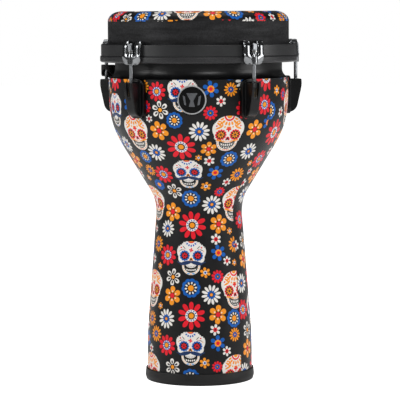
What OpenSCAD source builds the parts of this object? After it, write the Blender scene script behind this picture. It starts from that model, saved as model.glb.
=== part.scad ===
// Key-tuned djembe: a goblet shell in printed cloth, a deep-collared head and five claw-hook rods.
// The drum stands on its foot ring, the axis of the shell is Z and the badge faces -Y.

/* [Overall] */
// Height from the floor to the playing surface
total_h = 521; // [480:1:560]
// Diameter of the head over its collar
head_d = 254.8; // [240:0.2:270]

/* [Shell] */
// Diameter of the stem at the foot, without the cloth
stem_d = 147.6; // [130:0.2:165]
// Diameter at which the lines of stem and bowl would meet, without the cloth
waist_d = 117.6; // [100:0.2:130]
// Height of that meeting point, as a share of the whole height
waist_at = 0.487; // [0.45:0.001:0.52]
// Thickness of the wall, measured level
shell_wall = 6; // [4:0.5:8]
// Thickness of the printed cloth round the shell
wrap_t = 0.5; // [0.3:0.1:0.8]
// Height of the foot ring
foot_h = 16.5; // [12:0.5:22]
// How far the foot ring stands out past the shell
foot_out = 3.5; // [2.5:0.1:5]

/* [Head and hoops] */
// Depth from the playing surface to the underside of the flesh hoop
head_depth = 71; // [66:0.5:76]
// Depth of the shoulder that carries the print down from the playing surface
shoulder_h = 14; // [10:0.5:18]
// Thickness of the film
film_t = 0.6; // [0.4:0.1:1]
// Thickness of the black collar
collar_t = 0.9; // [0.6:0.1:1.2]
// Radial thickness of the flesh hoop
hoop_t = 10.5; // [9:0.1:12]
// Height of the flesh hoop
hoop_h = 9.4; // [8:0.2:11]
// Height of the flat counter hoop
band_h = 15.8; // [13:0.2:18]
// Thickness of the flat counter hoop
band_t = 3; // [2:0.2:3.2]

/* [Tuning] */
// Diameter of a tension rod
rod_d = 5; // [4.5:0.1:5.4]
// Across the flats of the rod's square head
key_flats = 6.3; // [6:0.05:6.5]
// Width of a claw
claw_w = 31.5; // [28:0.5:35]
// Width of the open slot between a claw's two fingers
slot_w = 12.4; // [11:0.2:14]
// Width of a lug's foot on the shell
lug_w = 25; // [22:0.5:29]
// Width of a lug's nose
nose_w = 14.5; // [13:0.5:17]
// Height of a lug
lug_h = 54; // [50:0.5:60]

/* [Badge and strap] */
// Diameter of the badge
badge_d = 39.2; // [34:0.2:44]
// Width of the strap's webbing
strap_w = 20; // [16:0.5:21]
// Thickness of the strap's webbing
strap_t = 1.8; // [1.4:0.1:2.2]
// How far the middle of the strap hangs below its ends
strap_sag = 16; // [0:1:30]

/* [Hidden] */
$fn = 96;

// Tuning stations as azimuths from the front (-Y), positive towards +X; station 1 is front right
azimuths = [36, 108, 180, -108, -36];

// Heights
hoop_z = total_h - head_depth;
band_z = hoop_z + hoop_h;
band_top = band_z + band_h;
lip_z = total_h - 93;
bowl_z = total_h - 158.7;
waist_z = waist_at * total_h;
stem_bend_z = 66;
foot_floor = 4;
shoulder_z = total_h - shoulder_h;
collar_top = shoulder_z + 2;

// Radii
head_r = head_d / 2;
stem_r = stem_d / 2;
waist_r = waist_d / 2;
bowl_r = head_r - 2.4;
lip_r = head_r - 1.2;
neck_r = head_r - 9.7;
neck_wall = 5.2;
neck_step = 2;
flare_r = 13;
edge_r = head_r - collar_t - 0.1;
shoulder_w = 20;
hoop_gap = 0.6;
hoop_r = head_r + hoop_gap + hoop_t;
band_r = hoop_r - 1.4;
rod_r = hoop_r + 4;

// Claws and rods
claw_z = hoop_z - 1.7;
claw_top = band_top + 6.3;
claw_back = hoop_r + 0.4;
claw_face = band_r + 7.5;
web_h = 9.2;
boss_top = band_z + 6.1;
boss_r = 4.7;
washer_t = 1.2;
flange_t = 2.3;
key_h = 8.2;
shaft_gap = 0.08;
rod_tip = boss_top - 65;
rod_run_out = 4;

// Lugs
lug_top = lip_z + 1;
lug_z = lug_top - lug_h;
nose_top = lip_z - 3.5;
foot_plate_r = head_r + 5.4;
nose_r = head_r + 22.8;
nut = [6.8, 8, 12];
nut_z = nose_top - 20.5;
nut_gap = 0.3;
groove_w = 5.8;
groove_floor = rod_r + rod_d / 2 + 1.6;
screw_d = 3.5;
screw_clearance = 0.3;
screw_heights = [lug_z + 14, lug_top - 9];
screw_reach = 9;

// Badge
badge_z = total_h - 120;
badge_rim = 1.6;
badge_face_r = head_r + 0.6;

// Strap: one end loops the rod of station 4, the other the rod of station 3.
// Each point is out from the rod, along towards the other end, and the heights of the
// webbing's upper and lower edge below the claws. The list runs from the sewn end round the rod.
strap_loop = [
    [-10.7, 31, 9, 29], [-8.3, 21, 6.5, 26.5], [-1.5, 11, 4.5, 22.5], [5, 5, 3.4, 20.5],
    [7, -0.5, 3.4, 19], [4, -5.5, 3.4, 12], [-0.5, -7.2, 3.4, 10], [-5.5, -4.5, 3.4, 13],
    [-8, 2, 3.4, 17.8], [-9.4, 10, 4, 19], [-10.9, 20, 6.5, 26.5], [-13.1, 31, 9, 29]];
strap_stand_off = 4.2;
strap_span = 72;
strap_hang_from = 13.7;
strap_hang_steps = 10;
strap_fine = 3;
buckle_l = 13;
buckle_wall = 2.2;
buckle_turn = 24;

corner_step = 9;

// ---------- outlines ----------

function unit(v) = v / norm(v);
function xy(p) = [p[0], p[1]];
function turned(v, a) = [v[0] * cos(a) - v[1] * sin(a), v[0] * sin(a) + v[1] * cos(a)];

// The points of corner b, [x, y, radius], between its neighbours a and c
function corner(a, b, c) =
    b[2] == 0 ? [xy(b)] :
    let (u = unit(xy(a) - xy(b)),
         v = unit(xy(c) - xy(b)),
         opening = acos(u * v),
         centre = xy(b) + unit(u + v) * b[2] / sin(opening / 2),
         start = xy(b) + u * b[2] / tan(opening / 2) - centre,
         side = sign(cross(-u, v)),
         steps = max(3, ceil((180 - opening) / corner_step)))
    [for (i = [0:steps]) centre + turned(start, side * (180 - opening) * i / steps)];

// A closed outline with its corners rounded
function rounded(pts) = let (n = len(pts))
    [for (i = [0:n - 1]) each corner(pts[(i + n - 1) % n], pts[i], pts[(i + 1) % n])];

// An open line with its inner corners rounded
function bent(pts) = let (n = len(pts))
    concat([xy(pts[0])],
           [for (i = [1:n - 2]) each corner(pts[i - 1], pts[i], pts[i + 1])],
           [xy(pts[n - 1])]);

// The goblet line of the shell from the foot to the lip, moved inwards by an amount
function goblet(inwards) = bent([
    [stem_r - inwards, foot_floor, 0],
    [stem_r - inwards, stem_bend_z, 600],
    [waist_r - inwards, waist_z, 55],
    [bowl_r - inwards, bowl_z, 117],
    [lip_r - inwards, lip_z, 0]]);

// The hollow flare from the lip in to the neck
flare_sweep = acos((flare_r - lip_r + neck_r) / flare_r);
flare_z = lip_z + flare_r * sin(flare_sweep);
flare = [for (i = [0:8]) let (a = 180 + flare_sweep * (1 - i / 8))
    [neck_r + flare_r + flare_r * cos(a), flare_z + flare_r * sin(a)]];

// The elliptical shoulder, from its foot (share 0) to its crown (share 1), shrunk by an amount
function shoulder(shrink, share = 1) = [for (i = [0:10]) let (a = 90 * share * i / 10)
    [head_r - shoulder_w + (shoulder_w - shrink) * cos(a),
     shoulder_z + (shoulder_h - shrink) * sin(a)]];

module ring(pts) {
    rotate_extrude($fn = 180) polygon(pts);
}

// ---------- placing round the drum ----------

// Turns a shape built along +X out to an azimuth
module at_azimuth(azimuth) {
    rotate([0, 0, azimuth - 90]) children();
}

// An outline in (across, height), run outwards along X
module seen_from_front(pts, from, to) {
    translate([from, 0, 0]) rotate([90, 0, 90]) linear_extrude(to - from) polygon(pts);
}

// An outline in (radius, height), given a width across
module seen_from_side(pts, width) {
    rotate([90, 0, 0]) linear_extrude(width, center = true) polygon(pts);
}

// Everything inside the outer face of the cloth and, above it, inside the shell's lip
module shell_envelope() {
    ring(concat([[0, foot_floor]],
                [for (p = goblet(0)) [p[0] + wrap_t, p[1]]],
                flare, [[neck_r, hoop_z], [0, hoop_z]]));
}

// ---------- shell ----------

module screw_holes() {
    for (azimuth = azimuths, z = screw_heights)
        at_azimuth(azimuth) translate([bowl_r - 15, 0, z]) rotate([0, 90, 0])
            cylinder(d = screw_d + screw_clearance, h = 30, $fn = 32);
}

// The moulded wall between two heights: its stem, bowl and neck meet face to face
module shell(from, to) {
    outside = concat(goblet(0), flare, [[neck_r, hoop_z + 2], [edge_r, hoop_z + 12]],
                     shoulder(collar_t + 0.1, 0.8));
    crown = outside[len(outside) - 1];
    bore = goblet(shell_wall);
    inside = concat([[crown[0] - 3.5, crown[1] - 0.6], [crown[0] - 5, crown[1] - 4]],
                    [[edge_r - 6, hoop_z + 44], [edge_r - 6, hoop_z + 16]],
                    [[neck_r - neck_wall, hoop_z + 4], [neck_r - neck_wall, lip_z + 8]],
                    [for (i = [len(bore) - 1:-1:0])
                        bore[i] - [0, i == len(bore) - 1 ? neck_step : 0]]);
    color("#1b1b1c") intersection() {
        difference() {
            ring(concat(outside, inside));
            screw_holes();
        }
        translate([0, 0, from]) cylinder(r = head_r, h = to - from, $fn = 180);
    }
}

// Only the stretch that shows: from the top of the foot ring to the lip
module cloth_wrap() {
    line = [for (p = goblet(0)) if (p[1] > foot_h + 0.2) p];
    hem = [stem_r, foot_h + 0.1];
    face = [for (p = concat([hem], line)) p + [wrap_t, 0]];
    back = [for (i = [len(line) - 1:-1:0]) line[i]];
    color("#c4602a") difference() {
        ring(concat(face, back, [hem]));
        screw_holes();
    }
}

module foot_ring() {
    outer = stem_r + foot_out;
    inner = stem_r - shell_wall - 2.4;
    color("#1a1a1a") ring(rounded([
        [inner, 0, 1.5], [outer - 1.6, 0, 1.8], [outer + 0.2, 6.5, 9], [outer - 0.9, foot_h, 1.2],
        [stem_r, foot_h, 0], [stem_r, foot_floor, 0], [stem_r - shell_wall, foot_floor, 0],
        [stem_r - shell_wall, 11, 0], [inner, 11, 1]]));
}

// ---------- head ----------

module head_film() {
    under = shoulder(film_t);
    color("#d9742f") ring(concat(
        [[0, total_h - film_t]],
        [for (i = [len(under) - 1:-1:1]) under[i]],
        [[head_r - film_t, collar_top], [head_r, collar_top]],
        [for (p = shoulder(0)) if (p[1] > collar_top + 0.1) p],
        [[0, total_h]]));
}

module head_collar() {
    color("#202022") ring([
        [head_r - collar_t, band_z + 2], [head_r, band_z + 2], [head_r, shoulder_z],
        [head_r - 0.2, collar_top], [head_r - film_t, collar_top], [head_r - collar_t, shoulder_z]]);
}

module flesh_hoop() {
    color("#28282a") ring(rounded([
        [head_r + hoop_gap, hoop_z, 1.5], [hoop_r, hoop_z, 2.8],
        [hoop_r, band_z, 2.2], [head_r + hoop_gap, band_z, 1]]));
}

module rim_band() {
    web_t = 2.6;
    color("#1d1d1f") ring(rounded([
        [head_r + 0.9, band_z, 0.3], [band_r, band_z, 0.8], [band_r, band_top, 1],
        [band_r - band_t, band_top, 1], [band_r - band_t, band_z + web_t, 0.6],
        [head_r + 0.9, band_z + web_t, 0.6]]));
}

// ---------- claws and rods ----------

module claw_section() {
    leg_in = head_r + 1.6;
    leg_out = band_r - band_t - 0.3;
    leg_z = band_top - 7;
    ring(rounded([
        [claw_back, claw_z, 0.8], [claw_face, claw_z, 3.5], [claw_face, band_top - 1, 6],
        [claw_face - 4.5, claw_top, 3], [head_r + 4.8, claw_top - 1.6, 3], [leg_in, band_top, 2],
        [leg_in, leg_z, 1], [leg_out, leg_z, 1], [leg_out, band_top, 0.4],
        [band_r + 0.2, band_top, 0.4], [band_r + 0.2, band_z + 0.5, 0], [claw_back, band_z, 0]]));
}

module claw_outline() {
    half = claw_w / 2;
    slot = slot_w / 2;
    seen_from_front(rounded([
        [-half, claw_z - 0.1, 7.5], [half, claw_z - 0.1, 7.5], [half, claw_top + 0.1, 3],
        [slot, claw_top + 0.1, 2], [slot, claw_z + web_h, 4.5], [-slot, claw_z + web_h, 4.5],
        [-slot, claw_top + 0.1, 2], [-half, claw_top + 0.1, 3]]), head_r, claw_face + 5);
}

module claw(station) {
    color("#b9bbbd") at_azimuth(azimuths[station - 1]) difference() {
        union() {
            intersection() {
                claw_section();
                claw_outline();
            }
            difference() {
                translate([rod_r, 0, claw_z]) cylinder(r = boss_r, h = boss_top - claw_z);
                cylinder(r = claw_back, h = total_h, $fn = 180);
            }
        }
        translate([rod_r, 0, claw_z - 1]) cylinder(r = rod_d / 2 + shaft_gap, h = web_h + 30);
    }
}

module rod_washer(station) {
    color("#d6d6d2") at_azimuth(azimuths[station - 1]) translate([rod_r, 0, boss_top]) difference() {
        cylinder(r = boss_r, h = washer_t);
        translate([0, 0, -1]) cylinder(r = rod_d / 2 + shaft_gap, h = washer_t + 2);
    }
}

module tension_rod(station) {
    flange_z = boss_top + washer_t;
    tip_h = 1.2;
    color("#8f9193") at_azimuth(azimuths[station - 1]) translate([rod_r, 0, 0]) {
        translate([0, 0, rod_tip]) cylinder(r1 = rod_d / 2 - 0.9, r2 = rod_d / 2, h = tip_h);
        translate([0, 0, rod_tip + tip_h]) cylinder(d = rod_d, h = flange_z - rod_tip - tip_h);
        translate([0, 0, flange_z]) cylinder(r = boss_r - 0.3, h = flange_t);
        translate([0, 0, flange_z + flange_t]) intersection() {
            translate([-key_flats / 2, -key_flats / 2, 0]) cube([key_flats, key_flats, key_h]);
            cylinder(d = key_flats * 1.3, h = key_h - 1);
        }
        translate([0, 0, flange_z + flange_t + key_h - 1])
            cylinder(r1 = key_flats / 2, r2 = key_flats / 2 - 1, h = 1);
    }
}

// ---------- lugs ----------

module lug_body() {
    half = lug_w / 2;
    intersection() {
        ring([[bowl_r - 12, lug_z], [foot_plate_r, lug_z], [foot_plate_r, lug_top], [bowl_r - 12, lug_top]]);
        seen_from_front(rounded([
            [-half, lug_z, 9], [half, lug_z, 9], [half, lug_top, 9.5], [-half, lug_top, 9.5]]),
            bowl_r - 12, foot_plate_r + 5);
    }
    seen_from_side(rounded([
        [bowl_r - 6, nose_top, 0], [nose_r - 0.8, nose_top, 1.4], [nose_r, nose_top - 8.5, 40],
        [nose_r - 8.7, lug_z + 3, 14], [bowl_r - 6, lug_z + 1, 0]]), nose_w);
}

module lug(station) {
    color("#232324") at_azimuth(azimuths[station - 1]) difference() {
        lug_body();
        shell_envelope();
        // the pocket that takes the nut from behind
        translate([bowl_r - 6, -nut[1] / 2 - nut_gap, nut_z])
            cube([rod_r + nut[0] / 2 + nut_gap - bowl_r + 6, nut[1] + 2 * nut_gap, nut[2] + nut_gap]);
        // the rod's hole and the groove in front of it
        translate([rod_r, 0, rod_tip - rod_run_out]) cylinder(r = rod_d / 2 + shaft_gap, h = lug_h);
        translate([groove_floor, -groove_w / 2, lug_z]) cube([20, groove_w, lug_h]);
        for (z = screw_heights)
            translate([bowl_r, 0, z]) rotate([0, 90, 0]) cylinder(d = screw_d + 0.04, h = screw_reach + 1, $fn = 32);
    }
}

module lug_nut(station) {
    color("#b08d4c") at_azimuth(azimuths[station - 1]) translate([rod_r, 0, nut_z]) difference() {
        translate([-nut[0] / 2, -nut[1] / 2, 0]) cube(nut);
        translate([0, 0, -1]) cylinder(r = rod_d / 2 + shaft_gap, h = nut[2] + 2);
    }
}

// Two pan-head screws from inside the shell, each on its washer
module lug_screws(station) {
    head_h = 2.6;
    washer_h = 1;
    seat = bowl_r - shell_wall - 0.2;
    color("#9b9da0") at_azimuth(azimuths[station - 1]) for (z = screw_heights)
        translate([seat, 0, z]) rotate([0, 90, 0]) {
            cylinder(d = screw_d, h = bowl_r + screw_reach - seat, $fn = 32);
            translate([0, 0, -washer_h]) cylinder(d = 10, h = washer_h, $fn = 32);
            difference() {
                translate([0, 0, -washer_h - head_h]) cylinder(d = 7.6, h = head_h, $fn = 32);
                for (a = [0, 90])
                    translate([0, 0, -washer_h - head_h]) rotate([0, 0, a]) cube([4.6, 1.1, 2.6], center = true);
            }
        }
}

// ---------- badge ----------

// A disc of the badge, from the cloth out to a radius of the drum
module badge_disc(diameter, face_r) {
    difference() {
        intersection() {
            ring([[bowl_r - 8, badge_z - 30], [face_r, badge_z - 30], [face_r, badge_z + 30], [bowl_r - 8, badge_z + 30]]);
            translate([bowl_r - 8, 0, badge_z]) rotate([0, 90, 0]) cylinder(d = diameter, h = 20);
        }
        shell_envelope();
    }
}

module badge_plate() {
    color("#0f0f10") at_azimuth(0) badge_disc(badge_d - 2 * badge_rim, badge_face_r);
}

module badge_ring() {
    color("#c9cacb") at_azimuth(0) difference() {
        badge_disc(badge_d, badge_face_r + 0.9);
        translate([bowl_r - 8, 0, badge_z]) rotate([0, 90, 0]) cylinder(d = badge_d - 2 * badge_rim, h = 20);
    }
}

// A small goblet drum in relief, with a stroke either side
module badge_emblem() {
    top = 7.6;
    waist = 1.9;
    foot = 4.2;
    rise = 9.2;
    outline = [
        [-foot, -rise, 0.4], [foot, -rise, 0.4], [waist, -1.5, 3], [top, rise, 0.6], [-top, rise, 0.6], [-waist, -1.5, 3]];
    stroke = [[9.4, 4.6, 0.4], [12.6, 6.4, 0.4], [10.6, -6.4, 0.4], [7.6, -7.6, 0.4]];
    color("#77797c") at_azimuth(0) intersection() {
        ring([[badge_face_r, badge_z - 30], [badge_face_r + 0.5, badge_z - 30],
              [badge_face_r + 0.5, badge_z + 30], [badge_face_r, badge_z + 30]]);
        translate([0, 0, badge_z]) union() {
            seen_from_front(rounded(outline), head_r - 5, head_r + 5);
            for (side = [0, 1]) mirror([0, side, 0]) seen_from_front(rounded(stroke), head_r - 5, head_r + 5);
        }
    }
}

// ---------- strap ----------

// A point at a radius and azimuth about the drum's axis, measured back from station 4
function polar(r, back) = [r * cos(-198 - back), r * sin(-198 - back)];

// The loop at the rod of station 4, as [x, y, top, bottom]
strap_end = [for (p = strap_loop)
    let (out = polar(1, 0), along = polar(1, 90), at = polar(rod_r, 0) + p[0] * out + p[1] * along)
    [at[0], at[1], claw_z - p[2], claw_z - p[3]]];

// The same points mirrored to the rod of station 3
function mirrored(p) = let (a = -198 - strap_span / 2, c = cos(2 * a), s = sin(2 * a))
    [p[0] * c + p[1] * s, p[0] * s - p[1] * c, p[2], p[3]];

// The free stretch between them, hanging round the back of the bowl
function hang(back) = let (
        share = (back - strap_span / 2) / (strap_span / 2 - strap_hang_from),
        drop = strap_loop[len(strap_loop) - 1][2] + strap_sag * (1 + cos(180 * share)) / 2,
        at = polar(head_r + strap_stand_off, back))
    [at[0], at[1], claw_z - drop, claw_z - drop - strap_w];

strap_middle = [for (i = [1:strap_hang_steps - 1])
    hang(strap_hang_from + (strap_span - 2 * strap_hang_from) * i / strap_hang_steps)];
strap_points = concat(strap_end, strap_middle,
    [for (i = [len(strap_end) - 1:-1:0]) mirrored(strap_end[i])]);

// A smooth line through the points, strap_fine steps between each two
function through(pts, i, f) = let (n = len(pts) - 1,
        a = pts[max(i - 1, 0)], b = pts[i], c = pts[min(i + 1, n)], d = pts[min(i + 2, n)])
    0.5 * (2 * b + (c - a) * f + (2 * a - 5 * b + 4 * c - d) * f * f + (3 * b - a - 3 * c + d) * f * f * f);
strap_line = concat(
    [for (i = [0:len(strap_points) - 2], k = [0:strap_fine - 1]) through(strap_points, i, k / strap_fine)],
    [strap_points[len(strap_points) - 1]]);

// The four corners of the webbing's section at one point of the line
function webbing(line, i) = let (n = len(line) - 1,
        way = xy(line[min(i + 1, n)]) - xy(line[max(i - 1, 0)]),
        side = strap_t / 2 * unit([way[1], -way[0]]),
        p = line[i])
    [[p[0] + side[0], p[1] + side[1], p[3]], [p[0] - side[0], p[1] - side[1], p[3]],
     [p[0] - side[0], p[1] - side[1], p[2]], [p[0] + side[0], p[1] + side[1], p[2]]];

module strap() {
    n = len(strap_line);
    color("#161617") polyhedron(
        points = [for (i = [0:n - 1]) each webbing(strap_line, i)],
        faces = concat([[3, 2, 1, 0]],
            [for (i = [0:n - 2], k = [0:3]) let (m = (k + 1) % 4) [4 * i + k, 4 * i + m, 4 * i + m + 4, 4 * i + k + 4]],
            [[4 * n - 4, 4 * n - 3, 4 * n - 2, 4 * n - 1]]));
}

// The three-bar slider, which the webbing runs through
module strap_buckle() {
    p = hang(buckle_turn);
    high = hang(buckle_turn - 1);
    low = hang(buckle_turn + 1);
    slope = atan((high[2] - low[2]) / norm(xy(high) - xy(low)));
    slot = [strap_t + 0.9, 20, strap_w + 1];
    color("#1c1c1e") rotate([0, 0, -198 - buckle_turn])
        translate([head_r + strap_stand_off, 0, (p[2] + p[3]) / 2]) rotate([slope, 0, 0]) difference() {
            cube([slot[0] + 2 * buckle_wall, buckle_l, slot[2] + 5], center = true);
            cube(slot, center = true);
            for (y = [-3.4, 3.4]) translate([2, y, 0]) cube([5, 3.4, strap_w - 1], center = true);
        }
}

shell(0, waist_z);  // shell_stem
shell(waist_z, lip_z);  // shell_bowl
shell(lip_z, total_h);  // shell_neck
cloth_wrap();
foot_ring();
head_film();
head_collar();
flesh_hoop();
rim_band();
for (station = [1:len(azimuths)]) {
    claw(station);
    tension_rod(station);
    rod_washer(station);
    lug(station);
    lug_nut(station);
    lug_screws(station);
}
badge_plate();
badge_emblem();
badge_ring();
strap();
strap_buckle();
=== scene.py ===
"""Key-tuned djembe: printed cloth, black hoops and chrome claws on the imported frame.

Lengths are in metres, except where a name ends in mm. Turned shapes are given as radius
against height about the drum's axis, and the front of the drum faces -Y.
"""
import math

import bpy
import numpy as np
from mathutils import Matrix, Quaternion, Vector


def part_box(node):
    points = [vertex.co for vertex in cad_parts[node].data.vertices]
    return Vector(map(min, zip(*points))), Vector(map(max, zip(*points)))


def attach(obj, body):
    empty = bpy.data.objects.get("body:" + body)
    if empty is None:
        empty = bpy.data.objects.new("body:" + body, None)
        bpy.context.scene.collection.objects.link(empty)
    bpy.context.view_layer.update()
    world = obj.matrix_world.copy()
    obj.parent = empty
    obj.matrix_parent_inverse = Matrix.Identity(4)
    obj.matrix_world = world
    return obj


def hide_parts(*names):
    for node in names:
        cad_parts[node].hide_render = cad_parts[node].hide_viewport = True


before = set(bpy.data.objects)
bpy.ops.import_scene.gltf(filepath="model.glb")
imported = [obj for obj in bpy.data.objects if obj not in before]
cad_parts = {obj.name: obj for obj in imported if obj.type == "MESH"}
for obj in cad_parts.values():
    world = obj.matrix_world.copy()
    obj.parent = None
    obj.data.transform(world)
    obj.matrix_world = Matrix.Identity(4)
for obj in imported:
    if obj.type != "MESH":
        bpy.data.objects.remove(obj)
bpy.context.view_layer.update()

MM = 0.001
FRONT = -math.pi / 2
STATIONS = range(1, 6)
# Where the claws, rods and lugs stand, in degrees round from the front towards the right
STATION_AZIMUTHS = [36, 108, 180, -108, -36]


# ---------- materials ----------

def linear(colour):
    """The linear red, green, blue and opacity of an sRGB hex colour."""
    parts = [int(colour[i:i + 2], 16) / 255 for i in (1, 3, 5)]
    return [p / 12.92 if p <= 0.04045 else ((p + 0.055) / 1.055) ** 2.4 for p in parts] + [1]


def node(tree, kind, inputs=None, **settings):
    """Adds one node: its settings, then its inputs, each a value or the socket it is linked from."""
    made = tree.nodes.new("ShaderNode" + kind)
    for name, value in settings.items():
        setattr(made, name, value)
    for name, value in (inputs or {}).items():
        if isinstance(value, bpy.types.NodeSocket):
            tree.links.new(value, made.inputs[name])
        else:
            made.inputs[name].default_value = value
    return made


def finish(name, **shader):
    """A new material with a Principled shader, whose inputs are given with _ for a space."""
    material = bpy.data.materials.new(name)
    material.use_nodes = True
    tree = material.node_tree
    surface = tree.nodes["Principled BSDF"]
    for key, value in shader.items():
        surface.inputs[key.replace("_", " ")].default_value = value
    return material, tree, surface


def bumped(tree, surface, height, depth, strength=1.0):
    """Feeds a height socket, 0 to 1 over a depth in metres, to the shader as a bump."""
    bump = node(tree, "Bump", {"Height": height, "Distance": depth, "Strength": strength})
    tree.links.new(bump.outputs["Normal"], surface.inputs["Normal"])


def shaded(tree, surface, amount, low, high):
    """Runs the base colour from one hex colour to another with an amount socket."""
    ramp = node(tree, "Mix", {0: amount, 6: linear(low), 7: linear(high)}, data_type="RGBA")
    tree.links.new(ramp.outputs[2], surface.inputs["Base Color"])


def spread(tree, value, low, high):
    """A value socket that runs 0 to 1, mapped to run between two numbers."""
    return node(tree, "MapRange", {"Value": value, "To Min": low, "To Max": high}).outputs[0]


def grain(tree, size, detail=2.0, vector=None, roughness=0.5):
    """Noise whose lumps are about a size in metres."""
    place = vector or node(tree, "TexCoord").outputs["Object"]
    return node(tree, "TexNoise", {"Vector": place, "Scale": 1 / size, "Detail": detail,
                                   "Roughness": roughness}).outputs[0]


# ---------- camera, light and floor ----------

def add_camera():
    """A long lens in front of the drum, level with its head and looking slightly down."""
    distance, height, side = 3.06, 0.521, math.radians(4.1)
    lens_mm, roll = 195, math.radians(-0.25)
    data = bpy.data.cameras.new("camera")
    data.lens = lens_mm
    camera = bpy.data.objects.new("camera", data)
    bpy.context.scene.collection.objects.link(camera)
    camera.location = (distance * math.sin(side), -distance * math.cos(side), height)
    aim = np.array([0.0013, 0.0, 0.254]) - np.array(camera.location)
    turned = Vector(aim).to_track_quat("-Z", "Y") @ Quaternion((0, 0, 1), roll)
    camera.rotation_mode = "QUATERNION"
    camera.rotation_quaternion = turned
    bpy.context.scene.camera = camera


def add_softbox(name, place, aim, size, power, mirrored=True):
    """A square softbox at a place, facing a point; glossy surfaces may be kept from mirroring it."""
    data = bpy.data.lights.new(name, "AREA")
    data.shape = "SQUARE"
    data.size = size
    data.energy = power
    lamp = bpy.data.objects.new(name, data)
    bpy.context.scene.collection.objects.link(lamp)
    lamp.location = place
    lamp.rotation_euler = (Vector(aim) - Vector(place)).to_track_quat("-Z", "Y").to_euler()
    lamp.visible_glossy = mirrored


def add_studio():
    """A white backdrop that is dim in reflections, as in a dark room, and softboxes all round."""
    world = bpy.data.worlds.new("studio")
    world.use_nodes = True
    bpy.context.scene.world = world
    tree = world.node_tree
    background = tree.nodes["Background"]
    background.inputs["Color"].default_value = (1, 1, 1, 1)
    backdrop, in_reflections, on_cloth = 1.0, 0.045, 0.38
    ray = node(tree, "LightPath").outputs
    level = node(tree, "Mix", {0: ray["Is Glossy Ray"], 2: on_cloth, 3: in_reflections}).outputs[0]
    level = node(tree, "Mix", {0: ray["Is Camera Ray"], 2: level, 3: backdrop}).outputs[0]
    tree.links.new(level, background.inputs["Strength"])
    middle = (0, 0, 0.27)
    add_softbox("softbox_left", (-1.55, -0.85, 1.0), middle, 0.8, 14)
    add_softbox("softbox_right", (1.8, -0.35, 0.8), middle, 0.9, 12)
    add_softbox("softbox_front", (0.75, -2.1, 1.4), middle, 0.7, 15)
    add_softbox("softbox_top", (0, 0.2, 1.9), middle, 1.2, 9)
    add_softbox("softbox_rear_left", (-1.1, 1.6, 0.7), middle, 1.0, 9, False)
    add_softbox("softbox_rear_right", (1.1, 1.6, 0.7), middle, 1.0, 9, False)

    mesh = bpy.data.meshes.new("floor")
    reach = 12
    mesh.from_pydata([(-reach, -reach, 0), (reach, -reach, 0), (reach, reach, 0), (-reach, reach, 0)],
                     [], [(0, 1, 2, 3)])
    floor = bpy.data.objects.new("floor", mesh)
    bpy.context.scene.collection.objects.link(floor)
    paper = bpy.data.materials.new("studio_paper")
    paper.use_nodes = True
    shader = paper.node_tree.nodes["Principled BSDF"]
    shader.inputs["Base Color"].default_value = (0.95, 0.95, 0.95, 1)
    shader.inputs["Roughness"].default_value = 0.9
    shader.inputs["Emission Color"].default_value = (1, 1, 1, 1)
    in_view = node(paper.node_tree, "LightPath").outputs["Is Camera Ray"]
    lift = node(paper.node_tree, "Math", {0: in_view, 1: 0.8}, operation="MULTIPLY").outputs[0]
    paper.node_tree.links.new(lift, shader.inputs["Emission Strength"])
    mesh.materials.append(paper)


# ---------- the printed cloth's drawing ----------

# The inks, and the charcoal of the cloth they are printed on
INKS = {"white": "#E9E5DF", "orange": "#F5961A", "red": "#E41427", "blue": "#005AB2",
        "navy": "#1A3560", "peach": "#F3BE86", "black": "#121213", "sky": "#5C9BD6"}
CLOTH_LOW, CLOTH_HIGH = "#050506", "#161618"
INK_EDGE_MM = 0.12
# How much a petal's half width grows from its middle to its outer end
PETAL_TAPER = 0.16

# A drawing is a list of shapes painted one over the other, in millimetres about its middle:
#   ("disc", ink, x, y, half width, half height)
#   ("drops", ink, x, y, count, from, to, width, first)   drops round a middle, like petals,
#       from one radius to another, the first at an angle in degrees
#   ("within", shape, shape)   the second shape, only where the first one covers
# In a mirrored drawing a shape with x above 0 is repeated on the left.


def petals(ink, count, start, end, width, first=90):
    """Drops round a flower's middle."""
    return "drops", ink, 0, 0, count, start, end, width, first


def eye(ink, radius):
    """A disc on a flower's middle."""
    return "disc", ink, 0, 0, radius, radius


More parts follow.
